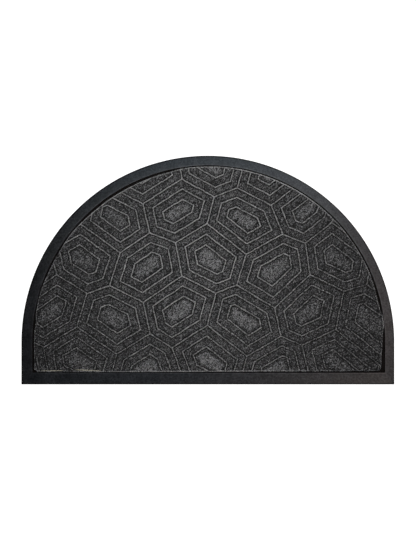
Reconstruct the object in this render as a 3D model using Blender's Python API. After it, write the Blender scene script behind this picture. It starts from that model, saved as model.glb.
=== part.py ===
"""Half round doormat: a moulded rubber tray with an embossed carpet inlay.

Metres, +Z up. The origin is on the floor, midway along and across the mat.
+X runs along the straight edge and +Y towards the crown of the arc.
"""

import math
from collections import namedtuple

import bmesh
import bpy
from mathutils import Vector

MM = 0.001

# Outline of the mat: a half circle standing on two short straight sides
WIDTH = 750 * MM
DEPTH = 460 * MM
RADIUS = WIDTH / 2
BASE_Y = -DEPTH / 2  # the straight edge
CROWN_CENTRE = Vector((0, DEPTH / 2 - RADIUS))

# Recess inside the rim. It sits a little right of the middle, so the rim is wider on the left.
RECESS_CENTRE = CROWN_CENTRE + Vector((2.3, 1.0)) * MM
RECESS_RADIUS = 353.8 * MM
RECESS_BASE_Y = BASE_Y + 24.2 * MM

# Points along each stretch of an outline
BASE_STEPS = 30
SIDE_STEPS = 6
ARC_STEPS = 96

# Rubber tray, in section
FLOOR_THICKNESS = 2.0 * MM
Station = namedtuple("Station", "across height")
# The rim from the floor up: the share of the way from the outer edge to the recess, and the height in mm
RIM_SECTION = (
    Station(0.00, 0.0),
    Station(0.00, 1.4),
    Station(0.04, 2.1),
    Station(0.45, 4.3),
    Station(0.86, 6.0),
    Station(0.94, 6.1),
    Station(0.985, 5.8),
    Station(1.00, 5.1),
)

# Carpet inlay, in section
TOUCH_GAP = 0.3 * MM
CARPET_BOTTOM = FLOOR_THICKNESS + TOUCH_GAP
CARPET_FIELD = 6.6 * MM  # height of the flat ground between the ribs
CARPET_CORNER = 4 * MM  # the two corners on the straight edge are cut round
CORNER_STEPS = 4

Groove = namedtuple("Groove", "place width")
# Width of the open groove between the rim's lip and the carpet, in mm.
# Round the arc and both sides, the place is a bearing in degrees from the recess's centre.
ARC_GROOVES = (
    Groove(-10, 8.5),
    Groove(-5, 7.0),
    Groove(-1, 5.6),
    Groove(3, 4.4),
    Groove(5, 0.8),
    Groove(9, 0.8),
    Groove(11, 4.2),
    Groove(15, 5.0),
    Groove(19, 3.5),
    Groove(24, 2.5),
    Groove(60, 2.2),
    Groove(90, 1.6),
    Groove(98, 1.8),
    Groove(104, 4.0),
    Groove(118, 4.8),
    Groove(132, 4.2),
    Groove(142, 1.8),
    Groove(150, 2.8),
    Groove(157, 2.6),
    Groove(163, 0.9),
    Groove(170, 1.2),
    Groove(174, 3.6),
    Groove(178, 2.4),
    Groove(191, 2.4),
)
# Along the straight edge, the place is X in mm.
BASE_GROOVES = (
    Groove(-352, 1.8),
    Groove(-325, 0.9),
    Groove(-200, 0.8),
    Groove(0, 1.6),
    Groove(200, 2.2),
    Groove(357, 2.8),
)

# Embossed pattern: the corners where its irregular six-sided cells meet, in mm from the middle of the straight
# edge. They are numbered from 0, in rows from the straight edge up and from left to right.
Corner = namedtuple("Corner", "x y")
CORNERS = (
    Corner(390, -56),
    Corner(127, -45),
    Corner(-394, -43),
    Corner(-131, -42),
    Corner(275, -28),
    Corner(322, -22),
    Corner(-249, -20),
    Corner(17, -20),
    Corner(60, -9),
    Corner(-461, -8),
    Corner(-202, -7),
    Corner(467, 1),
    Corner(205, 11),
    Corner(-319, 14),
    Corner(-50, 14),
    Corner(345, 39),
    Corner(79, 57),
    Corner(-441, 58),
    Corner(-183, 61),
    Corner(453, 66),
    Corner(-72, 74),
    Corner(-330, 75),
    Corner(189, 79),
    Corner(407, 86),
    Corner(-373, 97),
    Corner(147, 97),
    Corner(-116, 102),
    Corner(257, 111),
    Corner(-263, 116),
    Corner(-1, 119),
    Corner(134, 154),
    Corner(383, 157),
    Corner(-386, 162),
    Corner(-130, 165),
    Corner(-243, 183),
    Corner(16, 184),
    Corner(273, 188),
    Corner(-454, 198),
    Corner(-197, 199),
    Corner(58, 200),
    Corner(319, 201),
    Corner(460, 214),
    Corner(-52, 218),
    Corner(-304, 221),
    Corner(205, 221),
    Corner(77, 262),
    Corner(-435, 264),
    Corner(330, 264),
    Corner(-176, 265),
    Corner(445, 280),
    Corner(196, 284),
    Corner(-320, 285),
    Corner(-65, 285),
    Corner(397, 301),
    Corner(150, 302),
    Corner(-367, 304),
    Corner(-117, 305),
    Corner(-255, 322),
    Corner(-2, 323),
    Corner(249, 326),
    Corner(127, 360),
    Corner(-130, 363),
    Corner(379, 363),
    Corner(-385, 365),
    Corner(13, 377),
    Corner(-240, 386),
    Corner(268, 387),
    Corner(59, 395),
    Corner(-197, 397),
    Corner(311, 398),
    Corner(-52, 413),
    Corner(203, 418),
    Corner(-308, 421),
    Corner(78, 460),
    Corner(-178, 462),
    Corner(-66, 480),
    Corner(190, 482),
    Corner(-112, 500),
    Corner(144, 500),
    Corner(-2, 520),
)
# Each cell as the numbers of its six corners, anticlockwise
CELLS = (
    (2, 13, 21, 24, 17, 9),
    (6, 10, 18, 28, 21, 13),
    (3, 14, 20, 26, 18, 10),
    (7, 8, 16, 29, 20, 14),
    (1, 12, 22, 25, 16, 8),
    (4, 5, 15, 27, 22, 12),
    (0, 11, 19, 23, 15, 5),
    (21, 28, 34, 43, 32, 24),
    (18, 26, 33, 38, 34, 28),
    (20, 29, 35, 42, 33, 26),
    (16, 25, 30, 39, 35, 29),
    (22, 27, 36, 44, 30, 25),
    (15, 23, 31, 40, 36, 27),
    (32, 43, 51, 55, 46, 37),
    (33, 42, 52, 56, 48, 38),
    (30, 44, 50, 54, 45, 39),
    (31, 41, 49, 53, 47, 40),
    (34, 38, 48, 57, 51, 43),
    (35, 39, 45, 58, 52, 42),
    (36, 40, 47, 59, 50, 44),
    (51, 57, 65, 72, 63, 55),
    (48, 56, 61, 68, 65, 57),
    (52, 58, 64, 70, 61, 56),
    (45, 54, 60, 67, 64, 58),
    (50, 59, 66, 71, 60, 54),
    (47, 53, 62, 69, 66, 59),
    (61, 70, 75, 77, 74, 68),
    (64, 67, 73, 79, 75, 70),
    (60, 71, 76, 78, 73, 67),
)

# Relief of the embossed face, in mm
RING_INSETS = (0.0, 17.2, 35.0)  # how far inside the cell's edge each rib runs
Relief = namedtuple("Relief", "off rise")
# Half of a rib's section, outwards from its middle line: crest, pressed valley, flat ground
RIB_SECTION = (
    Relief(0.7, 0.9),
    Relief(3.2, -0.6),
    Relief(6.0, 0.0),
)
# The lofty patch in the middle, by inset from the cell's edge
PATCH_SECTION = (
    Relief(41.0, 0.3),
    Relief(44.0, 0.8),
)
# The welt that the cut edge ends in, by inset from the carpet's outline. It overlaps the patterned slab.
WELT_SECTION = (
    Relief(0.0, 0.4),
    Relief(0.7, 1.0),
    Relief(1.9, 1.0),
    Relief(3.0, -1.0),
)
WELT_FOOT = CARPET_BOTTOM + 0.4 * MM
SLAB_INSET = 1.3 * MM


def clear_scene():
    for thing in list(bpy.data.objects):
        bpy.data.objects.remove(thing, do_unlink=True)


def make_material(name, colour, roughness):
    material = bpy.data.materials.new(name)
    material.use_nodes = True
    shader = material.node_tree.nodes["Principled BSDF"]
    shader.inputs["Base Color"].default_value = (*colour, 1)
    shader.inputs["Roughness"].default_value = roughness
    shader.inputs["Metallic"].default_value = 0
    return material


def add_object(name, bm, material):
    mesh = bpy.data.meshes.new(name)
    bm.to_mesh(mesh)
    bm.free()
    mesh.shade_smooth()
    mesh.set_sharp_from_angle(angle=math.radians(30))
    mesh.materials.append(material)
    thing = bpy.data.objects.new(name, mesh)
    bpy.context.scene.collection.objects.link(thing)
    return thing


def add_loop(bm, outline, height):
    return [bm.verts.new((point.x, point.y, height)) for point in outline]


def join_loops(bm, lower, upper):
    count = len(lower)
    for k in range(count):
        after = (k + 1) % count
        bm.faces.new((lower[k], lower[after], upper[after], upper[k]))


def half_round(centre, radius, base_y):
    """Points of a half round outline, anticlockwise from its left corner on the straight edge."""
    left, right = centre.x - radius, centre.x + radius
    rise = centre.y - base_y
    points = [Vector((left + (right - left) * k / BASE_STEPS, base_y)) for k in range(BASE_STEPS)]
    points += [Vector((right, base_y + rise * k / SIDE_STEPS)) for k in range(SIDE_STEPS)]
    for k in range(ARC_STEPS):
        angle = math.pi * k / ARC_STEPS
        points.append(centre + radius * Vector((math.cos(angle), math.sin(angle))))
    points += [Vector((left, centre.y - rise * k / SIDE_STEPS)) for k in range(SIDE_STEPS)]
    return points


def recess_outline():
    return half_round(RECESS_CENTRE, RECESS_RADIUS, RECESS_BASE_Y)


def groove_width(grooves, place):
    """The groove's width at a place, in metres, eased between the rows on either side of it."""
    place = min(max(place, grooves[0].place), grooves[-1].place)
    for low, high in zip(grooves, grooves[1:]):
        if place <= high.place:
            share = (place - low.place) / (high.place - low.place)
            eased = share * share * (3 - 2 * share)
            return (low.width + eased * (high.width - low.width)) * MM
    return grooves[-1].width * MM


def drawn_in_from_arc(point):
    """The point moved off the lip by the groove: towards the centre on the arc, straight across on a side."""
    away = point - RECESS_CENTRE
    bearing = math.degrees(math.atan2(away.y, away.x))
    if bearing < -90:
        bearing += 360
    width = groove_width(ARC_GROOVES, bearing)
    if away.y > 0:
        return point - width * away.normalized()
    return Vector((point.x - math.copysign(width, away.x), point.y))


def rounded_corner(before, corner, after):
    """Points of a smooth curve that leaves each side at CARPET_CORNER from the corner."""
    start = corner + CARPET_CORNER * (before - corner).normalized()
    end = corner + CARPET_CORNER * (after - corner).normalized()
    shares = [k / CORNER_STEPS for k in range(CORNER_STEPS + 1)]
    return [start.lerp(corner, t).lerp(corner.lerp(end, t), t) for t in shares]


def carpet_outline():
    """The recess's outline drawn in by the groove, with its two corners rounded."""
    points = recess_outline()
    for number, point in enumerate(points):
        if number <= BASE_STEPS:
            point.y += groove_width(BASE_GROOVES, point.x / MM)
        if number == 0 or number >= BASE_STEPS:
            points[number] = drawn_in_from_arc(point)
    left = rounded_corner(points[-1], points[0], points[1])
    right = rounded_corner(points[BASE_STEPS - 1], points[BASE_STEPS], points[BASE_STEPS + 1])
    return left + points[1:BASE_STEPS] + right + points[BASE_STEPS + 1 :]


def add_rubber_tray(material):
    outer = half_round(CROWN_CENTRE, RADIUS, BASE_Y)
    inner = recess_outline()
    bm = bmesh.new()
    loops = []
    for station in RIM_SECTION:
        outline = [a.lerp(b, station.across) for a, b in zip(outer, inner)]
        loops.append(add_loop(bm, outline, station.height * MM))
    loops.append(add_loop(bm, inner, FLOOR_THICKNESS))
    for lower, upper in zip(loops, loops[1:]):
        join_loops(bm, lower, upper)
    bm.faces.new(reversed(loops[0]))
    bm.faces.new(loops[-1])
    return add_object("rubber_tray", bm, material)


def cell_corners(cell):
    """The cell's corners in the mat's own frame."""
    corners = [CORNERS[number] for number in cell]
    return [Vector((corner.x * MM, corner.y * MM + BASE_Y)) for corner in corners]


def inset(corners, distance):
    """The corners of an anticlockwise outline after each side has moved inwards by the distance."""
    moved = []
    for before, here, after in zip(corners[-1:] + corners[:-1], corners, corners[1:] + corners[:1]):
        sides = (here - before, after - here)
        inwards = [Vector((-side.y, side.x)).normalized() for side in sides]
        mitre = (inwards[0] + inwards[1]) / (1 + inwards[0].dot(inwards[1]))
        moved.append(here + distance * mitre)
    return moved


def face_section():
    """The face's section from a cell's edge to its patch, as rows of inset and rise in mm."""
    section = [Relief(0.0, RIB_SECTION[0].rise)]
    for ring in RING_INSETS:
        before = [Relief(ring - row.off, row.rise) for row in reversed(RIB_SECTION)]
        after = [Relief(ring + row.off, row.rise) for row in RIB_SECTION]
        section += (before if ring > 0 else []) + after
    section.pop()
    return section + list(PATCH_SECTION)


def add_cell(bm, corners):
    """One cell of the embossed face: bands of quads from its edge in to its patch."""
    loops = []
    for row in face_section():
        outline = inset(corners, row.off * MM)
        loops.append(add_loop(bm, outline, CARPET_FIELD + row.rise * MM))
    for outer, inner in zip(loops, loops[1:]):
        join_loops(bm, outer, inner)
    bm.faces.new(loops[-1])


def add_patterned_slab(material):
    """The embossed face over more than the mat's area, with sides and a flat back."""
    bm = bmesh.new()
    for cell in CELLS:
        add_cell(bm, cell_corners(cell))
    bmesh.ops.remove_doubles(bm, verts=bm.verts, dist=0.01 * MM)
    rim = [edge for edge in bm.edges if edge.is_boundary]
    skirt = bmesh.ops.extrude_edge_only(bm, edges=rim)["geom"]
    for item in skirt:
        if isinstance(item, bmesh.types.BMVert):
            item.co.z = 0
    bottom = [item for item in skirt if isinstance(item, bmesh.types.BMEdge)]
    bmesh.ops.holes_fill(bm, edges=bottom, sides=0)
    bmesh.ops.recalc_face_normals(bm, faces=bm.faces)
    return add_object("carpet_inlay", bm, material)


def add_outline_cutter(material):
    """The space that the patterned slab is trimmed to, a little inside the carpet's cut edge."""
    outline = inset(carpet_outline(), SLAB_INSET)
    bm = bmesh.new()
    lower = add_loop(bm, outline, CARPET_BOTTOM)
    upper = add_loop(bm, outline, 2 * CARPET_FIELD)
    join_loops(bm, lower, upper)
    bm.faces.new(reversed(lower))
    bm.faces.new(upper)
    return add_object("carpet_outline", bm, material)


def add_edge_welt(material):
    """The raised line that the embossing ends in all round the carpet, down to its foot."""
    outline = carpet_outline()
    bm = bmesh.new()
    loops = [add_loop(bm, outline, WELT_FOOT)]
    for row in WELT_SECTION:
        loops.append(add_loop(bm, inset(outline, row.off * MM), CARPET_FIELD + row.rise * MM))
    loops.append(add_loop(bm, inset(outline, WELT_SECTION[-1].off * MM), WELT_FOOT))
    for lower, upper in zip(loops, loops[1:] + loops[:1]):
        join_loops(bm, lower, upper)
    return add_object("carpet_welt", bm, material)


def combine(thing, name, operation, helper):
    helper.hide_render = True
    helper.display_type = "WIRE"
    boolean = thing.modifiers.new(name, "BOOLEAN")
    boolean.operation = operation
    boolean.solver = "EXACT"
    boolean.object = helper


def add_carpet_inlay(material):
    carpet = add_patterned_slab(material)
    combine(carpet, "trim_to_outline", "INTERSECT", add_outline_cutter(material))
    combine(carpet, "add_edge_welt", "UNION", add_edge_welt(material))
    return carpet


def main():
    clear_scene()
    rubber = make_material("black_rubber", (0.035, 0.037, 0.041), 0.7)
    felt = make_material("charcoal_felt", (0.05, 0.05, 0.05), 0.95)
    add_rubber_tray(rubber)
    add_carpet_inlay(felt)


main()
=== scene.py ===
# %% [markdown]
# # A half round doormat
# This lesson dresses a finished CAD model of a doormat so that it looks real. The mat has two pieces: a
# black rubber tray with a sloping rim, and a grey felt carpet that lies in it, embossed with nested
# hexagons. The CAD model gives every size. What is made here is the surface: the grain of the rubber,
# the pressed relief of the felt, and more than a hundred and fifty thousand short fibres that stand on
# it.

# %% Load the frame
import math

import bpy
import numpy as np
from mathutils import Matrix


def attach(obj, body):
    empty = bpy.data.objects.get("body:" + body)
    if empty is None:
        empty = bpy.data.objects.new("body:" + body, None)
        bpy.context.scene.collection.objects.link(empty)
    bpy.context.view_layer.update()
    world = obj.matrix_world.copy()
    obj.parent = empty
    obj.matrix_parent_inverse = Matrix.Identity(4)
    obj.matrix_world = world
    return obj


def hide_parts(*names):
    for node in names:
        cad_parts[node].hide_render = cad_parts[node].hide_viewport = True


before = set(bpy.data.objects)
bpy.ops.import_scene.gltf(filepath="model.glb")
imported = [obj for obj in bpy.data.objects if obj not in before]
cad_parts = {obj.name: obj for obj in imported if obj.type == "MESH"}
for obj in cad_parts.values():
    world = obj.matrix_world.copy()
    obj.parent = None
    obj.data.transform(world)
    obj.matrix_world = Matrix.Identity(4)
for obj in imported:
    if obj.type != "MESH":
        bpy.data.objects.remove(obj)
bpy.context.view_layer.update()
MM = 0.001

# %% [markdown]
# ## The camera
# A camera comes first, because it decides what has to look right. The mat was looked at from straight
# above, so the camera hangs over it and looks down. A long lens, 100 mm, keeps the sides of the mat
# parallel. Its height follows from the size of the picture: 555 rows of 2.0085 mm each have to fill a
# 36 mm sensor. The mat lies a little above the middle of the picture, so the camera hangs a little
# nearer the straight edge.

# %% Camera
PIXEL = 2.0085 * MM
PICTURE_ROWS = 555
LENS = 100
SENSOR = 36
TOP_OF_MAT = 6.6 * MM
CAMERA_X = 0.3 * MM
CAMERA_Y = -15.0 * MM

camera_data = bpy.data.cameras.new("camera")
camera_data.lens = LENS
camera_data.sensor_width = SENSOR
camera = bpy.data.objects.new("camera", camera_data)
camera_height = PICTURE_ROWS * PIXEL * LENS / SENSOR
camera.location = (CAMERA_X, CAMERA_Y, TOP_OF_MAT + camera_height)
bpy.context.scene.collection.objects.link(camera)
bpy.context.scene.camera = camera
bpy.context.scene.view_settings.view_transform = "Standard"
print("camera height above the carpet: %.3f m" % camera_height)

# %% [markdown]
# ## Colours and nodes
# Colours are easiest to pick as the hex values of a paint program, but a renderer adds up light, so it
# wants linear values. One function turns the one into the other. A second small function adds any
# shader node with its settings and its links, and every material below is built with it.

# %% Colour and node helpers
def linear(hex_colour):
    """The linear RGBA of an sRGB hex colour such as #808080."""
    channels = [int(hex_colour[k : k + 2], 16) / 255 for k in (1, 3, 5)]
    return [c / 12.92 if c <= 0.04045 else ((c + 0.055) / 1.055) ** 2.4 for c in channels] + [1]


def node(material, kind, settings=None, stops=None, **inputs):
    """Adds a node with its settings and links.

    An input is a value, or a socket of another node to link from. It goes by its name, or by i and its
    number where several inputs share a name. Stops, rows of position and colour, fill a colour ramp.
    """
    made = material.node_tree.nodes.new(kind)
    for name, value in (settings or {}).items():
        setattr(made, name, value)
    for k, (position, colour) in enumerate(stops or []):
        elements = made.color_ramp.elements
        element = elements[k] if k < len(elements) else elements.new(1)
        element.position = position
        element.color = linear(colour)
    for name, value in inputs.items():
        numbered = name[0] == "i" and name[1:].isdigit()
        socket = made.inputs[int(name[1:]) if numbered else name.replace("_", " ")]
        if isinstance(value, bpy.types.NodeSocket):
            material.node_tree.links.new(value, socket)
        else:
            socket.default_value = value
    return made


def new_material(name):
    material = bpy.data.materials.new(name)
    material.use_nodes = True
    material.node_tree.nodes.remove(material.node_tree.nodes["Principled BSDF"])
    return material


def finish_material(material, shader):
    output = material.node_tree.nodes["Material Output"]
    material.node_tree.links.new(shader.outputs["BSDF"], output.inputs["Surface"])


print("a mid grey, #808080, is %.3f in linear light" % linear("#808080")[0])

# %% [markdown]
# ## The floor
# The mat lies on matt white paper that is lit until it is pure white. Lamps that did this alone would
# drown the black mat. So the paper glows by itself, nearly as bright as white, and the lamps add the
# rest.

# %% Floor
FLOOR_SIZE = 30
PAPER_GLOW = 0.97
PAPER_MOTTLES = 3.0  # in a metre
PAPER_GREYS = [(0.3, "#808080"), (0.7, "#888888")]

bpy.ops.object.select_all(action="DESELECT")
bpy.ops.mesh.primitive_plane_add(size=FLOOR_SIZE, location=(0, 0, 0))
floor = bpy.context.object
floor.name = "floor"
paper = new_material("white_paper_floor")
place = node(paper, "ShaderNodeTexCoord").outputs["Object"]
mottle = node(paper, "ShaderNodeTexNoise", Vector=place, Scale=PAPER_MOTTLES, Detail=2.0)
white = node(paper, "ShaderNodeValToRGB", stops=PAPER_GREYS, Fac=mottle.outputs["Fac"])
shader = node(
    paper,
    "ShaderNodeBsdfPrincipled",
    Base_Color=white.outputs["Color"],
    Roughness=0.9,
    Emission_Color=(1, 1, 1, 1),
    Emission_Strength=PAPER_GLOW,
)
finish_material(paper, shader)
floor.data.materials.append(paper)
print("floor:", FLOOR_SIZE, "m across")

# %% [markdown]
# ## The lights
# Black rubber shows almost nothing of its own colour, only what it reflects. So the room is kept dark,
# and four large soft boxes stand from beyond the arc round to the front right: the rim's slope catches
# them along the top and the right, and stays dark on the left. A fifth hangs low over the middle, so
# the carpet falls off towards its ends. Two faint blue fills stand for the sky: the darker the rubber,
# the more it takes their tint. The powers and tints of the five were fitted to the tones of a photo by
# another program and rounded, and the fills were set by eye.

# %% Lights
# Name, place and size in metres, power in watts, colour
SOFT_BOXES = (
    ("overhead_soft_box", (0.0, 0.12, 0.95), (0.6, 0.4), 9.1, "#ffffff"),
    ("back_soft_box", (0.25, 1.2, 1.6), (1.2, 0.8), 5.2, "#d2edff"),
    ("back_right_soft_box", (0.95, 0.9, 1.5), (0.8, 0.8), 4.5, "#fffaff"),
    ("right_soft_box", (1.2, 0.0, 1.5), (0.7, 1.1), 5.0, "#ffefec"),
    ("front_right_soft_box", (0.7, -1.1, 1.5), (0.8, 0.8), 5.6, "#ffebe1"),
    ("back_left_sky_fill", (-0.6, 1.1, 1.6), (0.8, 0.8), 0.9, "#89cbff"),
    ("front_sky_fill", (0.0, -1.1, 1.5), (0.8, 0.8), 0.7, "#89cbff"),
)
AMBIENT = 0.012
AMBIENT_TINT = "#dfeaff"
for name, place, size, power, colour in SOFT_BOXES:
    data = bpy.data.lights.new(name, "AREA")
    data.shape = "RECTANGLE"
    data.size = size[0]
    data.size_y = size[1]
    data.energy = power
    data.color = linear(colour)[:3]
    box = bpy.data.objects.new(name, data)
    box.location = place
    box.rotation_euler = (-box.location).to_track_quat("-Z", "Y").to_euler()
    box.visible_camera = False
    bpy.context.scene.collection.objects.link(box)
world = bpy.context.scene.world or bpy.data.worlds.new("world")
bpy.context.scene.world = world
world.use_nodes = True
world.node_tree.nodes["Background"].inputs["Color"].default_value = linear(AMBIENT_TINT)
world.node_tree.nodes["Background"].inputs["Strength"].default_value = AMBIENT
print("lights:", [row[0] for row in SOFT_BOXES])

# %% [markdown]
# ## The rubber tray
# The tray is one piece of rubber, pressed in a hot steel mould: a thin back with a raised rim, which
# ramps up from the foot to a lip and then drops straight into the recess. It could be turned on a
# lathe, but for the straight edge. So it is modelled as one would carve it: a half round plate, then
# one inset after another, each raised or lowered as the section goes. The plate starts as a whole
# circle, whose lower half is cut away.

# %% The plate
RADIUS = 375 * MM
CENTRE_Y = -145 * MM
BASE_Y = -230 * MM
CIRCLE_STEPS = 360
SLACK = 0.05 * MM  # how far a corner may lie off and still be picked


def pick(piece, wanted):
    """Selects the vertices that the function wants, as a box select would, and returns to edit mode."""
    bpy.ops.object.mode_set(mode="EDIT")
    bpy.ops.mesh.select_mode(type="VERT")
    bpy.ops.mesh.select_all(action="DESELECT")
    bpy.ops.object.mode_set(mode="OBJECT")
    for vertex in piece.data.vertices:
        vertex.select = wanted(vertex.co)
    bpy.ops.object.mode_set(mode="EDIT")


bpy.ops.object.select_all(action="DESELECT")
bpy.ops.mesh.primitive_circle_add(vertices=CIRCLE_STEPS, radius=RADIUS, location=(0, CENTRE_Y, 0))
bpy.ops.object.transform_apply(location=True, rotation=False, scale=False)
tray = bpy.context.object
tray.name = "moulded_tray"
pick(tray, lambda co: co.y < CENTRE_Y - SLACK)
bpy.ops.mesh.delete(type="VERT")
pick(tray, lambda co: co.y < CENTRE_Y + SLACK)
bpy.ops.mesh.extrude_region_move(TRANSFORM_OT_translate={"value": (0, BASE_Y - CENTRE_Y, 0)})
pick(tray, lambda co: True)
bpy.ops.mesh.edge_face_add()
print("plate:", len(tray.data.vertices), "corners before the section is carved")

# %% [markdown]
# The insets follow the rim's section from the foot inwards. An inset keeps every side parallel, so the
# two lower corners get a mitre, as in the mould. The recess sits a little right of the middle, so the
# ramp's top edge is then moved there, and its straight part up, because the rim is wider along the
# straight edge.

# %% Carve the section
# How far in, how far up, both in mm
FOOT = (0.8, 0.7)
RAMP = (18.5, 3.9)
LIP_CREST = (0.8, 0.1)
LIP_TURN = (0.4, -1.1)
SIDE_WALL = 1.4 * MM
RECESS_SHIFT = (1.8 * MM, 1.0 * MM, 0)
BASE_LIFT = 2.3 * MM
FLOOR_HEIGHT = 2.0 * MM
SMOOTH_UNDER = math.radians(10)

bpy.ops.mesh.extrude_region_move(TRANSFORM_OT_translate={"value": (0, 0, SIDE_WALL)})
bpy.ops.mesh.inset(thickness=FOOT[0] * MM, depth=FOOT[1] * MM)
bpy.ops.mesh.inset(thickness=RAMP[0] * MM, depth=RAMP[1] * MM)
bpy.ops.transform.translate(value=RECESS_SHIFT)
crest = SIDE_WALL + (FOOT[1] + RAMP[1]) * MM
pick(tray, lambda co: co.z > crest - SLACK and co.y < (BASE_Y + CENTRE_Y) / 2)
bpy.ops.transform.translate(value=(0, BASE_LIFT, 0))
pick(tray, lambda co: co.z > crest - SLACK)
bpy.ops.mesh.select_mode(type="FACE")
bpy.ops.mesh.inset(thickness=LIP_CREST[0] * MM, depth=LIP_CREST[1] * MM)
bpy.ops.mesh.inset(thickness=LIP_TURN[0] * MM, depth=LIP_TURN[1] * MM)
drop = crest + (LIP_CREST[1] + LIP_TURN[1]) * MM - FLOOR_HEIGHT
bpy.ops.mesh.extrude_region_move(TRANSFORM_OT_translate={"value": (0, 0, -drop)})
bpy.ops.mesh.select_all(action="SELECT")
bpy.ops.mesh.normals_make_consistent(inside=False)
bpy.ops.object.mode_set(mode="OBJECT")
bpy.ops.object.shade_smooth_by_angle(angle=SMOOTH_UNDER)
heights = sorted({round(v.co.z / MM, 2) for v in tray.data.vertices})
print("tray:", len(tray.data.polygons), "faces; heights in mm", heights)
recess = np.array([v.co[:2] for v in tray.data.vertices if abs(v.co.z - FLOOR_HEIGHT) < SLACK]) / MM
print("recess in mm: x %.1f to %.1f" % (recess[:, 0].min(), recess[:, 0].max()))
print("recess in mm: y %.1f to %.1f" % (recess[:, 1].min(), recess[:, 1].max()))

# %% [markdown]
# ## Moulded rubber
# The mould's face is blasted, so the rubber comes out matt with a fine grain, a little cloudy where the
# release agent dried. Down in the recess the black is painted as shade, with no gloss, and the lip is
# painted paler and shinier as a highlight. So the first nodes read the height above the floor, and tell
# where this painted shade and painted highlight go, and how shiny each place is.

# %% Painted shade in the recess, painted highlight on the lip
FLECK = 3.5 * MM  # spots where the bloom has rubbed off, shinier and less black
# Below this height the recess is painted as shade, near black and without gloss.
RECESS_SHADE_END = {"From_Min": 2.1 * MM, "From_Max": 2.6 * MM}
# From this height up the lip is painted as a highlight, paler and glossier.
LIP_HIGHLIGHT_START = {"From_Min": 5.85 * MM, "From_Max": 6.0 * MM}
LIP_HIGHLIGHT = 1.7  # the painted highlight, times the ramp's tone and gloss
FLECK_SPAN = {"From_Min": 0.3, "From_Max": 0.7}
PRODUCT = {"operation": "MULTIPLY"}

rubber = new_material("moulded_nitrile_rubber")
place = node(rubber, "ShaderNodeTexCoord").outputs["Object"]
above = node(rubber, "ShaderNodeSeparateXYZ", Vector=place).outputs["Z"]
# 0 where the recess is painted as shade, 1 above it
recess_shade_mask = node(rubber, "ShaderNodeMapRange", Value=above, **RECESS_SHADE_END).outputs["Result"]
# 1 below the lip, and more on it, where a highlight is painted
lip_highlight = node(rubber, "ShaderNodeMapRange", Value=above, To_Min=1, To_Max=LIP_HIGHLIGHT, **LIP_HIGHLIGHT_START)
spots = node(rubber, "ShaderNodeTexNoise", Vector=place, Scale=1 / FLECK, Detail=3.0, Roughness=0.7)
fleck = spots.outputs["Fac"]
sheen = node(rubber, "ShaderNodeMapRange", Value=fleck, To_Min=0.22, To_Max=0.58, **FLECK_SPAN)
# The flecks' gloss, taken away in the recess as painted shade and raised on the lip as a painted sheen
gloss_and_painted_sheen = node(rubber, "ShaderNodeMath", PRODUCT, i0=recess_shade_mask, i1=sheen.outputs["Result"]).outputs[0]
gloss_and_painted_sheen = node(rubber, "ShaderNodeMath", PRODUCT, i0=gloss_and_painted_sheen, i1=lip_highlight.outputs["Result"]).outputs[0]
print("the rubber has", len(rubber.node_tree.nodes), "nodes so far")

# %% [markdown]
# The tone is a near black in soft clouds, paler at the flecks, painted paler on the lip as a highlight,
# and painted dark and matt in the recess as shade, and the grain is a fine bump. Rubber bends light like
# most plastics, with an IOR of 1.5, and a roughness of 0.35 leaves it a dull sheen.

# %% Moulded rubber
GRAIN = 1.1 * MM  # the blasted grain is finer than 0.1 mm, and is drawn as coarse as it needs to show
GRAIN_DEPTH = 0.2 * MM
CLOUD = 16 * MM  # patches of bloom
BLOOM = [(0.38, "#050607"), (0.62, "#17181a")]
RECESS_SHADE_BLACK = "#110f0e"

cloud = node(rubber, "ShaderNodeTexNoise", Vector=place, Scale=1 / CLOUD, Detail=4.0, Roughness=0.75)
tone_and_shade = node(rubber, "ShaderNodeValToRGB", stops=BLOOM, Fac=cloud.outputs["Fac"]).outputs["Color"]
# The recess is painted near black, as shade.
shade_black = linear(RECESS_SHADE_BLACK)
tone_and_shade = node(rubber, "ShaderNodeMix", {"data_type": "RGBA"}, i0=recess_shade_mask, i6=shade_black, i7=tone_and_shade).outputs[2]
# The flecks, and the highlight painted on the lip, make the tone paler.
tint = node(rubber, "ShaderNodeMapRange", Value=fleck, To_Min=0.45, To_Max=1.6, **FLECK_SPAN)
fleck_and_lip_highlight = node(rubber, "ShaderNodeMath", PRODUCT, i0=tint.outputs["Result"], i1=lip_highlight.outputs["Result"])
scaled = {"Vector": tone_and_shade, "Scale": fleck_and_lip_highlight.outputs[0]}
tone_and_shade = node(rubber, "ShaderNodeVectorMath", {"operation": "SCALE"}, **scaled).outputs[0]
grain = node(rubber, "ShaderNodeTexNoise", Vector=place, Scale=1 / GRAIN, Detail=2.0)
bump = node(rubber, "ShaderNodeBump", Strength=0.6, Distance=GRAIN_DEPTH, Height=grain.outputs["Fac"])
shader = node(
    rubber,
    "ShaderNodeBsdfPrincipled",
    Base_Color=tone_and_shade,
    Roughness=0.35,
    IOR=1.5,
    Normal=bump.outputs["Normal"],
    Specular_IOR_Level=gloss_and_painted_sheen,
)
finish_material(rubber, shader)
tray.data.materials.append(rubber)
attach(tray, "root")
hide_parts("rubber_tray")
print("rubber on", tray.name)

# %% [markdown]
# ## The carpet's outline
# The felt was stamped out by hand and bonded in, so the groove round it is uneven. Its outline is the
# recess's half circle drawn in by the width of the groove, which two short tables give by bearing and
# by X. Where a table is read between two rows, the value is eased from the one to the other.

# %% Width of the groove
RECESS_CENTRE = np.array((2.3, -144.0)) * MM
RECESS_RADIUS = 353.8 * MM
RECESS_BASE_Y = -205.8 * MM
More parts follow.
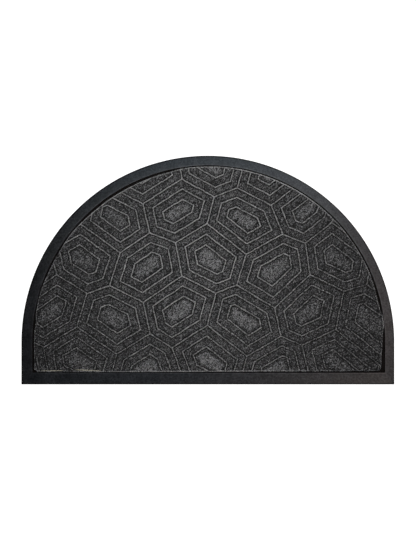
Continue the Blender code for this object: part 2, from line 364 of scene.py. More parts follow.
# Bearing in degrees from the recess's centre, width of the groove in mm
ARC_GROOVES = np.array([
    (-10, 8.5), (-5, 7.0), (-1, 5.6), (3, 4.4), (5, 0.8), (9, 0.8), (11, 4.2), (15, 5.0), (19, 3.5),
    (24, 2.5), (60, 2.2), (90, 1.6), (98, 1.8), (104, 4.0), (118, 4.8), (132, 4.2), (142, 1.8), (150, 2.8),
    (157, 2.6), (163, 0.9), (170, 1.2), (174, 3.6), (178, 2.4), (191, 2.4),
])  # fmt: skip
# X in mm, width of the groove in mm
BASE_GROOVES = np.array([(-352, 1.8), (-325, 0.9), (-200, 0.8), (0, 1.6), (200, 2.2), (357, 2.8)])


def eased(table, places):
    """Reads a table of place and value, eased between its rows."""
    places = np.clip(places, table[0, 0], table[-1, 0])
    row = np.clip(np.searchsorted(table[:, 0], places, side="right") - 1, 0, len(table) - 2)
    low, high = table[row], table[row + 1]
    share = (places - low[:, 0]) / (high[:, 0] - low[:, 0])
    return low[:, 1] + share * share * (3 - 2 * share) * (high[:, 1] - low[:, 1])


print("groove at the crown: %.1f mm" % eased(ARC_GROOVES, np.array([90.0]))[0])

# %% [markdown]
# Two helpers make a drawn line fit for a mesh. One spaces its points evenly, and the other smooths it,
# because a knife cuts no sharp bends in felt.

# %% Even and smooth lines
def resampled(points, step):
    """Evenly spaced points along a closed outline."""
    closed = np.vstack([points, points[:1]])
    along = np.concatenate([[0], np.cumsum(np.linalg.norm(np.diff(closed, axis=0), axis=1))])
    count = int(round(along[-1] / step))
    wanted = np.arange(count) * along[-1] / count
    return np.column_stack([np.interp(wanted, along, closed[:, k]) for k in (0, 1)])


def smoothed(points, times):
    """A closed line whose points are drawn towards their neighbours."""
    for _ in range(times):
        points = (np.roll(points, 1, 0) + 2 * points + np.roll(points, -1, 0)) / 4
    return points


square = np.array([(0.0, 0.0), (1.0, 0.0), (1.0, 1.0), (0.0, 1.0)])
print("a square of side 1 has", len(resampled(square, 0.1)), "points, 0.1 apart")

# %% [markdown]
# The outline is drawn fine at first: the straight edge, the right side, the arc and the left side. At
# each of its points the inward normal is kept too.

# %% Outline
STEP = 1.6 * MM  # spacing of the points along the outline
CORNER = 4 * MM  # the cut off the two lower corners
BASE_POINTS, SIDE_POINTS, ARC_POINTS = 361, 41, 722  # how finely each stretch is drawn at first


def carpet_outline():
    """Points anticlockwise round the felt, and the inward normal at each."""
    left, right = RECESS_CENTRE[0] - RECESS_RADIUS, RECESS_CENTRE[0] + RECESS_RADIUS
    xs = np.linspace(left, right, BASE_POINTS)[:-1]
    base = np.column_stack([xs, RECESS_BASE_Y + eased(BASE_GROOVES, xs / MM) * MM])
    ys = np.linspace(RECESS_BASE_Y, RECESS_CENTRE[1], SIDE_POINTS)
    bearing = np.degrees(np.arctan2(ys - RECESS_CENTRE[1], RECESS_RADIUS))
    right_side = np.column_stack([right - eased(ARC_GROOVES, bearing) * MM, ys])
    left_side = np.column_stack([left + eased(ARC_GROOVES, 180 - bearing) * MM, ys])[::-1]
    bearing = np.linspace(0, 180, ARC_POINTS)[1:-1]
    reach = RECESS_RADIUS - eased(ARC_GROOVES, bearing) * MM
    turn = np.radians(bearing)
    arc = RECESS_CENTRE + reach[:, None] * np.column_stack([np.cos(turn), np.sin(turn)])
    base = base[(base[:, 0] > left_side[-1, 0] + CORNER) & (base[:, 0] < right_side[0, 0] - CORNER)]
    right_side[:, 1] = np.maximum(right_side[:, 1], base[-1, 1] + CORNER)
    left_side[:, 1] = np.maximum(left_side[:, 1], base[0, 1] + CORNER)
    points = smoothed(resampled(np.vstack([base, right_side, arc, left_side]), STEP), 3)
    along = np.roll(points, -1, 0) - np.roll(points, 1, 0)
    inward = np.column_stack([-along[:, 1], along[:, 0]])
    return points, inward / np.linalg.norm(inward, axis=1)[:, None]


outline, inward = carpet_outline()
x, y = outline.T

# %% [markdown]
# The nearest point of the outline and its normal tell how far inside the felt any place lies.

# %% Distance from the edge
BATCH = 4000  # points measured at a time, to save memory


def edge_distance(points):
    """For each point: how far inside the outline it lies, and the number of the nearest point on it."""
    inside = np.empty(len(points))
    nearest = np.empty(len(points), int)
    for start in range(0, len(points), BATCH):
        part = points[start : start + BATCH]
        squares = (part[:, 0, None] - outline[:, 0]) ** 2 + (part[:, 1, None] - outline[:, 1]) ** 2
        closest = np.argmin(squares, axis=1)
        nearest[start : start + BATCH] = closest
        inside[start : start + BATCH] = np.sum((part - outline[closest]) * inward[closest], axis=1)
    return inside, nearest


print("the middle lies %.0f mm inside" % (edge_distance(np.zeros((1, 2)))[0][0] / MM))

# %% [markdown]
# Every fibre will ask how far it is from the edge, and there are very many. It is quicker to work that
# out once, on a coarse grid, and to read it off between the grid's points, as one reads a depth off a
# chart.

# %% A chart of the distance from the edge
CHART = 2 * MM
MARGIN = 4 * CHART

chart_low = outline.min(axis=0) - MARGIN
chart_x = np.arange(chart_low[0], outline[:, 0].max() + MARGIN, CHART)
chart_y = np.arange(chart_low[1], outline[:, 1].max() + MARGIN, CHART)
chart_points = np.stack(np.meshgrid(chart_x, chart_y, indexing="ij"), axis=-1).reshape(-1, 2)
DEPTHS = edge_distance(chart_points)[0].reshape(len(chart_x), len(chart_y))


def read_between(table, low, share):
    """Reads a table at places between its rows and columns."""
    x0, y0 = low[:, 0] % table.shape[0], low[:, 1] % table.shape[1]
    x1, y1 = (x0 + 1) % table.shape[0], (y0 + 1) % table.shape[1]
    below = table[x0, y0] + share[:, 0] * (table[x1, y0] - table[x0, y0])
    above = table[x0, y1] + share[:, 0] * (table[x1, y1] - table[x0, y1])
    return below + share[:, 1] * (above - below)


def depth_inside(points):
    """How far inside the outline each point lies, from the chart."""
    place = (points - chart_low) / CHART
    low = np.clip(np.floor(place).astype(int), 0, np.array(DEPTHS.shape) - 2)
    return read_between(DEPTHS, low, place - low)


print("deepest point of the felt is %.0f mm from its edge" % (DEPTHS.max() / MM))

# %% [markdown]
# ## The embossed pattern
# A heated roller presses the relief into the felt, as irregular six-sided cells. Where two cells meet,
# the felt keeps its loft as a rib, and each cell has two more ribs inside, like the rings of a target.
# The felt was pulled a little as it was laid and no two cells are alike, so no formula gives their
# corners. They are a table in whole millimetres, which another program fitted to the ribs in a photo.

# %% The chart of the cells
# Corners in mm, X from the middle and Y from the straight edge, numbered from 0 in rows from the bottom up
CORNERS = np.array([
    (390, -56), (127, -45), (-394, -43), (-131, -42), (275, -28), (322, -22), (-249, -20), (17, -20),
    (60, -9), (-461, -8), (-202, -7), (467, 1), (205, 11), (-319, 14), (-50, 14), (345, 39),
    (79, 57), (-441, 58), (-183, 61), (453, 66), (-72, 74), (-330, 75), (189, 79), (407, 86),
    (-373, 97), (147, 97), (-116, 102), (257, 111), (-263, 116), (-1, 119), (134, 154), (383, 157),
    (-386, 162), (-130, 165), (-243, 183), (16, 184), (273, 188), (-454, 198), (-197, 199), (58, 200),
    (319, 201), (460, 214), (-52, 218), (-304, 221), (205, 221), (77, 262), (-435, 264), (330, 264),
    (-176, 265), (445, 280), (196, 284), (-320, 285), (-65, 285), (397, 301), (150, 302), (-367, 304),
    (-117, 305), (-255, 322), (-2, 323), (249, 326), (127, 360), (-130, 363), (379, 363), (-385, 365),
    (13, 377), (-240, 386), (268, 387), (59, 395), (-197, 397), (311, 398), (-52, 413), (203, 418),
    (-308, 421), (78, 460), (-178, 462), (-66, 480), (190, 482), (-112, 500), (144, 500), (-2, 520),
])  # fmt: skip
# Each cell as the numbers of its six corners, anticlockwise
CELLS = np.array([
    (2, 13, 21, 24, 17, 9), (6, 10, 18, 28, 21, 13), (3, 14, 20, 26, 18, 10), (7, 8, 16, 29, 20, 14),
    (1, 12, 22, 25, 16, 8), (4, 5, 15, 27, 22, 12), (0, 11, 19, 23, 15, 5), (21, 28, 34, 43, 32, 24),
    (18, 26, 33, 38, 34, 28), (20, 29, 35, 42, 33, 26), (16, 25, 30, 39, 35, 29), (22, 27, 36, 44, 30, 25),
    (15, 23, 31, 40, 36, 27), (32, 43, 51, 55, 46, 37), (33, 42, 52, 56, 48, 38), (30, 44, 50, 54, 45, 39),
    (31, 41, 49, 53, 47, 40), (34, 38, 48, 57, 51, 43), (35, 39, 45, 58, 52, 42), (36, 40, 47, 59, 50, 44),
    (51, 57, 65, 72, 63, 55), (48, 56, 61, 68, 65, 57), (52, 58, 64, 70, 61, 56), (45, 54, 60, 67, 64, 58),
    (50, 59, 66, 71, 60, 54), (47, 53, 62, 69, 66, 59), (61, 70, 75, 77, 74, 68), (64, 67, 73, 79, 75, 70),
    (60, 71, 76, 78, 73, 67),
])  # fmt: skip
# How far inside the edge of its cell each ring lies, and how far the middle patch
RING_INSETS = np.array((0, 17.2, 35.0)) * MM
PATCH_INSET = 42.5 * MM
print(len(CORNERS), "corners and", len(CELLS), "cells")

# %% [markdown]
# A cell is convex, so the distance of a point from its edge is the least of its distances from the six
# sides: that places every ring. No line in felt is quite straight, so the place is first moved a little
# by smooth noise, once in long bends and once in short ones.

# %% Where a point lies in its cell
NOISE_SQUARES = 256  # after which the noise repeats
# Size and reach of the bends, and a seed for each direction
WANDERS = ((14 * MM, 0.5 * MM, 5, 6), (5 * MM, 0.35 * MM, 7, 8))


def value_noise(points, size, seed):
    """Smooth random values from -1 to 1 with bumps of about the given size."""
    table = np.random.default_rng(seed).uniform(-1, 1, (NOISE_SQUARES, NOISE_SQUARES))
    place = points / size
    low = np.floor(place).astype(int)
    share = place - low
    return read_between(table, low, share * share * (3 - 2 * share))


def cell_inset(points):
    """How far inside its cell each point lies, in metres, and the inward normal of the nearest side."""
    place = points
    for size, reach, *seeds in WANDERS:
        place = place + reach * np.column_stack([value_noise(points, size, seed) for seed in seeds])
    place = (place - np.array((0, BASE_Y))) / MM
    best = np.zeros(len(points))
    facing = np.zeros((len(points), 2))
    for cell in CELLS:
        corners = CORNERS[cell].astype(float)
        box = np.all((place > corners.min(axis=0)) & (place < corners.max(axis=0)), axis=1)
        near = np.flatnonzero(box)
        sides = np.roll(corners, -1, 0) - corners
        normals = np.column_stack([-sides[:, 1], sides[:, 0]])
        normals /= np.linalg.norm(normals, axis=1)[:, None]
        reach = place[near] @ normals.T - np.sum(corners * normals, axis=1)
        side = np.argmin(reach, axis=1)
        least = reach[np.arange(len(near)), side]
        better = least > best[near]
        best[near[better]] = least[better]
        facing[near[better]] = normals[side[better]]
    return best * MM, facing


def rib_offset(inset):
    """Signed distance from the nearest ring, positive towards the middle of the cell."""
    offsets = inset[:, None] - RING_INSETS
    return offsets[np.arange(len(inset)), np.argmin(np.abs(offsets), axis=1)]


sample = np.array([(0.0, 0.0), (0.05, 0.03)])
print("inset at two places in mm:", cell_inset(sample)[0] / MM)

# %% [markdown]
# The relief across a rib: a crest that is 1 mm proud, a pressed valley at either side, and flat ground
# from 5 mm on. The middle of each cell is a patch that the roller doesn't touch, so it stands 0.8 mm
# proud. Along the outline the knife leaves a welt. Over it all the felt's own loft rolls gently.

# %% Relief
FIELD = 6.6 * MM  # height of the flat ground over the floor
# Distance from the middle of a rib in mm, height over the ground in mm
RIB = np.array([(0.0, 1.0), (0.7, 0.85), (1.6, -0.15), (2.7, -0.75), (3.6, -0.6), (5.2, 0.0), (60.0, 0.0)])
# Distance from the cut edge in mm, height over the ground in mm
WELT = np.array([(0.0, 0.2), (0.5, 0.8), (1.2, 1.0), (2.0, 0.75), (3.2, 0.0), (60.0, 0.0)])
WELT_WIDTH = 3 * MM
WELT_DROP = 0.4  # mm, by which the welt's own line falls below the ground past its width
PATCH_LIFT = 0.8  # mm
PATCH_EDGE = 3 * MM
# Height in mm, size and seed
LOFT = ((0.12, 1.7 * MM, 11), (0.12, 3.1 * MM, 12))


def layered_noise(points, layers):
    """The sum of noises, each given by its strength, size and seed."""
    return sum(strength * value_noise(points, size, seed) for strength, size, seed in layers)


def patch_share(inset):
    """1 on the middle patch of a cell, 0 off it, and between the two along the patch's edge."""
    return np.clip((inset - PATCH_INSET + PATCH_EDGE / 2) / PATCH_EDGE, 0, 1)


def relief(points, inside, inset):
    """Height of the felt over its ground, in metres."""
    rib = eased(RIB, np.abs(rib_offset(inset)) / MM)
    patch = PATCH_LIFT * patch_share(inset)
    welt = eased(WELT, inside / MM) - WELT_DROP * (inside > WELT_WIDTH)
    return (np.maximum(rib + patch, welt) + layered_noise(points, LOFT)) * MM


depths = depth_inside(sample)
print("height at two places in mm:", (FIELD + relief(sample, depths, cell_inset(sample)[0])) / MM)

# %% [markdown]
# ## How light the felt is
# The ribs and the patches are painted light, as where the fibres stand open to the light, and the
# pressed lines beside the ribs are painted dark, as shade. Feet have trodden the two ends, where the
# ribs are blurred, and the felt is darker towards both ends. The cut edge shows the felt's light back
# and a painted highlight, more in some places than in others, as two short tables say.

# %% Wear, darker ends and the edge's painted highlight
# Where the pile is least trodden: the middle of that patch and its reach each way
FRESH_MIDDLE = np.array((-45, 90)) * MM
FRESH_REACH = np.array((270, 230)) * MM
TRODDEN = 0.3  # how crisp the pile is at the trodden ends
# The felt grows darker towards both ends over this reach.
END_DARKENING_REACH = 280 * MM
EDGE_WIDTH = 1.8 * MM
BASE_WIDTH = 8 * MM  # within this of the recess's straight side, the table by X holds
# How much of the cut edge's light back and painted highlight shows, by bearing in degrees round the arc
ARC_SHINE = np.array([
    (-10, 0.1), (3, 0.1), (6, 0.8), (9, 0.1), (30, 0.25), (45, 0.45), (58, 1.0), (76, 1.0), (86, 0.6),
    (104, 0.55), (125, 0.7), (140, 0.55), (150, 0.1), (191, 0.0),
])  # fmt: skip
# The same by X in mm along the base
BASE_SHINE = np.array([
    (-352, 0.1), (-300, 0.0), (-230, 0.35), (-60, 0.6), (60, 0.6), (200, 0.3), (300, 0.0), (357, 0.0),
])  # fmt: skip


def freshness(points):
    """1.3 where the pile stands crisp, down to 0.3 at the trodden ends."""
    away = np.sum(((points - FRESH_MIDDLE) / FRESH_REACH) ** 2, axis=1)
    return TRODDEN + np.exp(-away)


def middle_lightness(points):
    """1 across the middle, down to 0.2 at the two ends, which are darker."""
    return np.exp(-((points[:, 0] / END_DARKENING_REACH) ** 2))


def edge_shine(points):
    """How much of the cut edge's light back and painted highlight shows near each point."""
    away = points - RECESS_CENTRE
    left = away[:, 0] < 0
    bearing = np.degrees(np.arctan2(away[:, 1], away[:, 0]))
    arc = eased(ARC_SHINE, np.where(left & (bearing < 0), bearing + 360, bearing))
    base = eased(BASE_SHINE, points[:, 0] / MM)
    return np.where(points[:, 1] < RECESS_BASE_Y + BASE_WIDTH, base, arc)


print("freshness at two places:", freshness(sample))

# %% [markdown]
# All this is worked out once for each vertex, as a tone from 0 to 1 that holds the painted light and
# shade, which the material then turns to a colour. Clumps of light and dark fibre, about a millimetre
# across, speckle it, but less in the pressed lines.

# %% Tone, with painted light and shade
GROUND_TONE = 0.25
MIDDLE_TONE = 0.09  # added across the middle, less towards the darker ends
PATCH_TONE = 0.16  # added on a patch as painted light, less towards the darker ends
OUTER_LINE = 0.65  # how dark the painted shade in the line outside a rib is, beside that in the line inside it
LINE_SPECKLE = 0.25  # how much of the speckle is left in a pressed line
# On trodden pile, and what fresh pile adds
LINE_SHADE = (0.55, 0.45)
SPECKLE = (0.3, 0.2)
# Where none of the light back and painted highlight shows, and what they add
CUT_EDGE = (0.3, 0.6)
# Strength, size and seed
CLUMPS = ((1.05, 1.2 * MM, 31), (0.15, 2.8 * MM, 32))
# Distance from the middle of a rib in mm, the light painted on its crest, and the shade painted beside it
RIB_PAINTED_LIGHT = np.array([(0.0, 0.7), (0.9, 0.5), (1.6, 0.0), (60.0, 0.0)])
VALLEY_PAINTED_SHADE = np.array([(0.0, 0.0), (0.9, 0.0), (1.4, 0.8), (2.1, 1.2), (2.8, 0.9), (3.6, 0.0), (60.0, 0.0)])


def clumps(points):
    """Light clumps of fibre over 0, dark ones under it."""
    return layered_noise(points, CLUMPS)


def felt_tone_and_shade(points, inside, inset):
    """How light the felt is, from 0 to 1: painted light on ribs and patches, painted shade in pressed lines,
    speckled.
    """
    fresh = freshness(points)
    lighter_middle = middle_lightness(points)
    away = rib_offset(inset) / MM
    crest_painted_light = fresh * eased(RIB_PAINTED_LIGHT, np.abs(away))
    tone_and_shade = GROUND_TONE + MIDDLE_TONE * lighter_middle + crest_painted_light
    tone_and_shade = tone_and_shade + PATCH_TONE * lighter_middle * patch_share(inset)
    pressed_line_shade = np.where(away > 0, 1.0, OUTER_LINE) * eased(VALLEY_PAINTED_SHADE, np.abs(away))
    tone_and_shade = tone_and_shade - (LINE_SHADE[0] + LINE_SHADE[1] * fresh) * pressed_line_shade
    cut_edge = CUT_EDGE[0] + CUT_EDGE[1] * edge_shine(points)
    tone_and_shade = np.maximum(tone_and_shade, cut_edge * (inside < EDGE_WIDTH))
    speckled = (SPECKLE[0] + SPECKLE[1] * fresh) * (1 - (1 - LINE_SPECKLE) * np.minimum(pressed_line_shade, 1))
    return np.clip(tone_and_shade + speckled * clumps(points), 0, 1)


print("clumps at two places:", clumps(sample))

# %% [markdown]
# ## The felt
# The body of the carpet is one closed sheet. Its top is a grid fine enough for the ribs, 1.7 mm a
# square. A grid cut by a curve leaves stairs, so the stairs are pulled on to a line 4 mm inside the
# outline, and bands of quads run from there to the cut edge, which follows the outline exactly and
# drops to the tray's floor.

# %% The grid and its edge
SPACING = 1.7 * MM
BAND = 4 * MM
PAIRING = 10_000_000  # more than there are vertices, so a pair of them makes one number


def top_grid():
    """The points of a grid over the felt, and its quads that lie more than a band inside the outline."""
    xs = np.arange(outline[:, 0].min() - SPACING, outline[:, 0].max() + 2 * SPACING, SPACING)
    ys = np.arange(outline[:, 1].min() - SPACING, outline[:, 1].max() + 2 * SPACING, SPACING)
    grid = np.stack(np.meshgrid(xs, ys), axis=-1).reshape(-1, 2)
    corner = np.arange(len(xs) * len(ys)).reshape(len(ys), len(xs))
    quads = np.stack([corner[:-1, :-1], corner[:-1, 1:], corner[1:, 1:], corner[1:, :-1]], axis=-1)
    quads = quads.reshape(-1, 4)
    middle = grid[quads].mean(axis=1)
    return grid, quads[edge_distance(middle)[0] > BAND]


def boundary_loop(quads):
    """The vertices round a set of quads, in order. A quad runs anticlockwise, and so does the loop."""
    edges = np.vstack([quads[:, [k, (k + 1) % 4]] for k in range(4)])
    keys = np.minimum(edges[:, 0], edges[:, 1]) * PAIRING + np.maximum(edges[:, 0], edges[:, 1])
    _, first, counts = np.unique(keys, return_index=True, return_counts=True)
    after = {int(a): int(b) for a, b in edges[first[counts == 1]]}
    start = next(iter(after))
    loop = [start]
    while after[loop[-1]] != start:
        loop.append(after[loop[-1]])
    return np.array(loop)


def edge_points(points):
    """The places on the outline that the given points face, and the inward normal at each."""
    _, nearest = edge_distance(points)
    along = np.column_stack([inward[nearest, 1], -inward[nearest, 0]])
    foot = outline[nearest] + np.sum((points - outline[nearest]) * along, axis=1)[:, None] * along
    foot = smoothed(foot, 4)
    return foot, inward[edge_distance(foot)[1]]


grid, top_quads = top_grid()
loop = boundary_loop(top_quads)
print("top:", len(top_quads), "quads, with", len(loop), "vertices round them")

# %% [markdown]
# The rings of vertices then run outwards over the welt and down the cut edge, each joined to the last
# by a band of quads, and one flat face closes the bottom.

# %% Build the felt sheet
BAND_INSETS = np.array((3.2, 2.4, 1.7, 1.1, 0.5, 0.1)) * MM
BOTTOM = 2.3 * MM
# Height and inset of the rings down the cut edge
SIDE_RINGS = ((5.2 * MM, 0.0), (3.4 * MM, 0.1 * MM), (BOTTOM, 0.4 * MM))
SIDE_TONE = 0.2


def felt_mesh(grid, quads, loop):
    """The vertices, quads and bottom face of the felt, and the tone, with painted light and shade, of each
    vertex.
    """
    foot, facing = edge_points(grid[loop])
    grid[loop] = foot + BAND * facing
    rings = [loop]
    points = [grid]
    count = len(grid)
    for depth in BAND_INSETS:
        rings.append(np.arange(count, count + len(loop)))
        points.append(foot + depth * facing)
        count += len(loop)
    flat = np.vstack(points)
    inside = np.maximum(edge_distance(flat)[0], 0)
    inset, _ = cell_inset(flat)
    verts = [np.column_stack([flat, FIELD + relief(flat, inside, inset)])]
    for z, depth in SIDE_RINGS:
        rings.append(np.arange(count, count + len(loop)))
        verts.append(np.column_stack([foot + depth * facing, np.full(len(loop), z)]))
        count += len(loop)
    bands = []
    for upper, lower in zip(rings, rings[1:]):
        bands.append(np.stack([upper, lower, np.roll(lower, -1), np.roll(upper, -1)], axis=-1))
    verts = np.vstack(verts)
    quads = np.vstack([quads, *bands])
    tones_and_shade = np.full(len(verts), SIDE_TONE)
    tones_and_shade[: len(flat)] = felt_tone_and_shade(flat, inside, inset)
    used = np.unique(quads)
    renumber = np.full(len(verts), -1)
    renumber[used] = np.arange(len(used))
    return verts[used], renumber[quads], renumber[rings[-1]][::-1], tones_and_shade[used]


felt_verts, felt_quads, felt_bottom, felt_tones_and_shade = felt_mesh(grid, top_quads, loop)
mesh = bpy.data.meshes.new("carpet_felt")
mesh.from_pydata(felt_verts.tolist(), [], felt_quads.tolist() + [felt_bottom.tolist()])
mesh.shade_smooth()
# The tone attribute carries the light painted on the ribs and the shade painted in the pressed lines.
mesh.attributes.new("tone_and_shade", "FLOAT", "POINT").data.foreach_set("value", felt_tones_and_shade.astype(np.float32))
felt = bpy.data.objects.new("carpet_felt", mesh)
bpy.context.scene.collection.objects.link(felt)
print("felt:", len(mesh.vertices), "vertices,", 2 * len(felt_quads), "triangles on top and sides")

# %% [markdown]
# ## Dyed felt
# Needle-punched polypropylene is carded from fibres dyed in several greys, which is what gives its salt
# and pepper look. The colour is therefore a speckle, at about the size of a tuft, and not one grey.
# Loose fibre scatters light every way, so it is rough and hardly shines.

# %% Felt material
TUFT = 1.2 * MM  # a fibre is far finer, and the speckle is drawn as coarse as it needs to show
SPECKLE_SHARE = 1.4  # how much the speckle moves the painted tone, from -0.7 to 0.7


def felt_material(name, dark, middle, light, tone_and_shade=None):
    """Speckled felt or fibre. Where a piece has a tone attribute, with painted light and shade, that decides
    how light each place is.
    """
    material = new_material(name)
    place = node(material, "ShaderNodeTexCoord").outputs["Object"]
    speckle = node(material, "ShaderNodeTexNoise", Vector=place, Scale=1 / TUFT, Detail=2.0, Roughness=0.7)
    factor = speckle.outputs["Fac"]
    stops = [(0.36, dark), (0.5, middle), (0.66, light)]
    if tone_and_shade:
        painted = node(material, "ShaderNodeAttribute", {"attribute_name": tone_and_shade}).outputs["Fac"]
        spread = {"i0": factor, "i1": SPECKLE_SHARE, "i2": -SPECKLE_SHARE / 2}
        centred = node(material, "ShaderNodeMath", {"operation": "MULTIPLY_ADD"}, **spread).outputs[0]
        factor = node(material, "ShaderNodeMath", i0=painted, i1=centred).outputs[0]
        stops = [(0.05, dark), (0.45, middle), (0.95, light)]
    shader = node(
        material,
        "ShaderNodeBsdfPrincipled",
        Base_Color=node(material, "ShaderNodeValToRGB", stops=stops, Fac=factor).outputs["Color"],
        Roughness=0.95,
        IOR=1.45,
        Specular_IOR_Level=0.15,
    )
    finish_material(material, shader)
    return material


carded = felt_material("carded_polypropylene_felt", "#070707", "#333333", "#7c7c7b", tone_and_shade="tone_and_shade")
felt.data.materials.append(carded)
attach(felt, "root")
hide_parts("carpet_inlay")
print("felt material:", carded.name)

# %% [markdown]
# ## The fibres
# A tuft of the felt is a bundle of fibres finer than a hair, too fine to show from a step away. Here
# each bundle is one sliver, and the slivers come in four greys. Where each grey stands makes the
# pattern: pale on the ribs and patches, as painted light, and black in the pressed lines, as painted
# shade. So places are thrown at random, and each is kept with a share that says how many of its grey
# stand there.

# %% Scatter the fibres
FIBRE_MARGIN = 0.4 * MM  # no fibre stands nearer the cut edge
CREST_HALF = 1.0 * MM
LINE_START = 1.1 * MM
INNER_LINE_END = 3.3 * MM
OUTER_LINE_END = 3.1 * MM
OUTER_KEEPS = 0.25  # of the ground's share, in the line outside a rib
RAGGED_SIZE, RAGGED_SEED = 4 * MM, 33  # the crest of a rib is thin in places
RAGGED = (0.8, 0.5)  # how full a crest is, and how much that varies
CLUMPED = (0.35, 2.2)  # share between the clumps, and how fast it grows into them
END_SHARE = 0.4  # of the lighter greys, at the darker ends


def scatter(count, seed, on_ground, on_rib, in_valley, on_patch, clump):
    """Random places on the felt, kept in the given shares. Clump is 1 for light clumps, -1 for dark ones."""
    random = np.random.default_rng(seed)
    low, high = outline.min(axis=0), outline.max(axis=0)
    kept = []
    have = 0
    while have < count:
        points = random.uniform(low, high, (2 * count, 2))
        inside = depth_inside(points)
        points, inside = points[inside > FIBRE_MARGIN], inside[inside > FIBRE_MARGIN]
        inset, facing = cell_inset(points)
        offset = rib_offset(inset)
        away = np.abs(offset)
        lighter_middle = middle_lightness(points)
        share = np.full(len(points), on_ground)
        # Pale greys on the crests are painted light, and black ones in the pressed lines painted shade.
        outer_line = OUTER_KEEPS * on_ground + (1 - OUTER_KEEPS) * in_valley
        share[(away > LINE_START) & (away < OUTER_LINE_END)] = outer_line
        share[(offset > LINE_START) & (offset < INNER_LINE_END)] = in_valley
        share = np.where(inset > PATCH_INSET, on_ground + (on_patch - on_ground) * lighter_middle, share)
        ragged = RAGGED[0] + RAGGED[1] * value_noise(points, RAGGED_SIZE, RAGGED_SEED)
        crest = np.clip(freshness(points) * ragged, 0, 1)
        share = np.where(away < CREST_HALF, on_ground + (on_rib - on_ground) * crest, share)
        if clump:
            share = share * np.clip(CLUMPED[0] + CLUMPED[1] * clump * clumps(points), 0, 1)
        if clump >= 0:
            share = share * (END_SHARE + (1 - END_SHARE) * lighter_middle)
        edge = on_ground + (on_rib - on_ground) * edge_shine(points)
        share = np.where(inside < EDGE_WIDTH, edge, share)
        wanted = random.uniform(0, 1, len(points)) < share
        kept.append(np.column_stack([points, inside, inset, facing])[wanted])
        have += len(kept[-1])
    return np.vstack(kept)[:count]


print("pressed lines run from %.1f to %.1f mm inside a rib" % (LINE_START / MM, INNER_LINE_END / MM))

# %% [markdown]
# A sliver is a long thin tetrahedron: two tips that sink into the felt, and two raised points in the
# middle that give it its width. It is closed and has only four triangles, so a hundred thousand of them
# are cheap. All the slivers of one grey are one mesh, whose arrays are worked out at once. Near a rib
# they lie along it, as the roller lays them, and elsewhere they lie every way.

# %% The shape of the fibres
# Each is drawn at random between two values
LENGTH_SPREAD = (0.6, 1.2)  # of the piece's own length
WIDTH_SPREAD = (0.7, 1.3)  # of the piece's own width
LIFT_SPREAD = (0.3, 1.0)  # height of the middle, of the pile
TIP_SPREAD = (-0.5, 0.1)  # height of a tip over the felt in mm
PILE = 0.7 * MM
COMBED_WITHIN = 5 * MM  # of a rib
COMBED = 3  # how strongly the rib's direction counts
SLIVER_FACES = np.array([(0, 3, 2), (1, 2, 3), (0, 2, 1), (0, 1, 3)])


def sliver_corners(rows, seed, length, width):
    """The four corners of each sliver: its two tips, then the two raised points."""
    random = np.random.default_rng(seed)
    count = len(rows)
    place, inside, inset, facing = rows[:, :2], rows[:, 2], rows[:, 3], rows[:, 4:]
    turn = random.uniform(0, 2 * math.pi, count)
    heading = np.column_stack([np.cos(turn), np.sin(turn)])
    rib = np.column_stack([-facing[:, 1], facing[:, 0]])
    near = np.abs(rib_offset(inset)) < COMBED_WITHIN
    heading = heading + COMBED * near[:, None] * rib * np.sign(np.sum(heading * rib, axis=1))[:, None]
    heading /= np.linalg.norm(heading, axis=1)[:, None]
    across = np.column_stack([-heading[:, 1], heading[:, 0]])
    half = random.uniform(*LENGTH_SPREAD, count)[:, None] * length / 2
    wide = random.uniform(*WIDTH_SPREAD, count)[:, None] * width / 2
    ground = FIELD + relief(place, inside, inset)
    top = ground + random.uniform(*LIFT_SPREAD, count) * PILE
    tips = ground[:, None] + random.uniform(*TIP_SPREAD, (count, 2)) * MM
    corners = np.empty((count, 4, 3))
    corners[:, 0, :2] = place - half * heading
    corners[:, 1, :2] = place + half * heading
    corners[:, 2, :2] = place + wide * across
    corners[:, 3, :2] = place - wide * across
    corners[:, :2, 2] = tips
    corners[:, 2:, 2] = top[:, None]
    return corners


def fibre_piece(name, corners):
    """One mesh of all the slivers with the given corners."""
    count = len(corners)
    faces = (SLIVER_FACES[None] + 4 * np.arange(count)[:, None, None]).reshape(-1, 3)
    mesh = bpy.data.meshes.new(name)
    mesh.vertices.add(4 * count)
    mesh.vertices.foreach_set("co", corners.astype(np.float32).ravel())
    mesh.loops.add(len(faces) * 3)
    mesh.loops.foreach_set("vertex_index", faces.astype(np.int32).ravel())
    mesh.polygons.add(len(faces))
    mesh.polygons.foreach_set("loop_start", np.arange(0, 3 * len(faces), 3, dtype=np.int32))
    mesh.update()
    mesh.validate()
    piece = bpy.data.objects.new(name, mesh)
    bpy.context.scene.collection.objects.link(piece)
    print(name, len(faces), "triangles")
    return piece


print("pile %.1f mm high" % (PILE / MM))

# %% [markdown]
# Each grey has its own count, size and shares. The palest stand almost only on the ribs, as painted
# light, and the blackest fill the pressed lines, as painted shade, and the dark clumps of the ground.

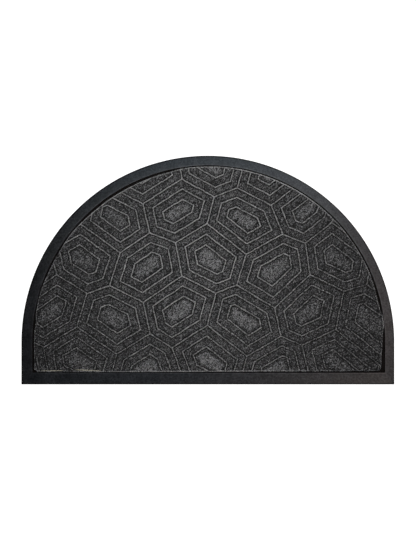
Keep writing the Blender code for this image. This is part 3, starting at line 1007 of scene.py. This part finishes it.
# %% Make the fibres
# The pale rib fibres paint light on the crests, and the darkest paint shade in the pressed lines.
FIBRES = (
    # name, count, seed, length and width in mm, colours dark, middle and light,
    # and the shares on the ground, on ribs, in valleys and on patches, and the clumps they like
    ("fibres_rib", 26000, 21, 2.8, 0.7, "#505050", "#8e8e8c", "#c4c4c2", 0.01, 1.0, 0.0, 0.08, 0),
    ("fibres_light", 38000, 22, 1.9, 0.7, "#5f5f60", "#7c7c7e", "#acacae", 0.32, 0.3, 0.0, 1.0, 1),
    ("fibres_mid", 42000, 23, 2.2, 0.6, "#282828", "#343434", "#424241", 0.9, 0.2, 0.02, 0.7, 0),
    ("fibres_dark", 49500, 24, 2.2, 0.7, "#020202", "#070707", "#101010", 0.7, 0.02, 1.0, 0.25, -1),
)
for name, count, seed, length, width, dark, middle, light, *shares in FIBRES:
    rows = scatter(count, seed, *shares)
    piece = fibre_piece(name, sliver_corners(rows, seed, length * MM, width * MM))
    piece.data.materials.append(felt_material(name, dark, middle, light))
    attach(piece, "root")

# %% [markdown]
# ## The curled back
# Near the left corner the felt's pale back has curled up over the cut edge, as two slivers. Each is a
# ball drawn out into a spindle, laid along the edge and flattened.

# %% Pale slivers
# X and Y of the middle, half length and half width in mm, turn in degrees
SLIVERS = ((-313.0, -202.2, 23.0, 0.8, 0.0), (-241.5, -201.2, 27.0, 1.1, -2.3))
CURL_HEIGHT = 7.1 * MM
CURL_HALF_THICKNESS = 0.5 * MM

bpy.ops.object.select_all(action="DESELECT")
slivers = []
for x, y, half_length, half_width, turn in SLIVERS:
    bpy.ops.mesh.primitive_uv_sphere_add(segments=24, ring_count=12, location=(x * MM, y * MM, CURL_HEIGHT))
    sliver = bpy.context.object
    sliver.scale = (half_length * MM, half_width * MM, CURL_HALF_THICKNESS)
    sliver.rotation_euler = (0, 0, math.radians(turn))
    bpy.ops.object.transform_apply(location=True, rotation=True, scale=True)
    slivers.append(sliver)
for sliver in slivers:
    sliver.select_set(True)
bpy.ops.object.join()
back = bpy.context.object
back.name = "curled_back"
bpy.ops.object.shade_smooth()
back.data.materials.append(felt_material("latex_backed_edge", "#3c3b33", "#7d7a6c", "#b9b5a3"))
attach(back, "root")
print("slivers:", len(back.data.polygons), "faces")

# %% [markdown]

# %% [markdown]
# ## Sizes
# The box of the CAD model and that of the finished mat should be nearly alike: only the tips of the
# fibres reach a little higher.

# %% Finish
print("finished")
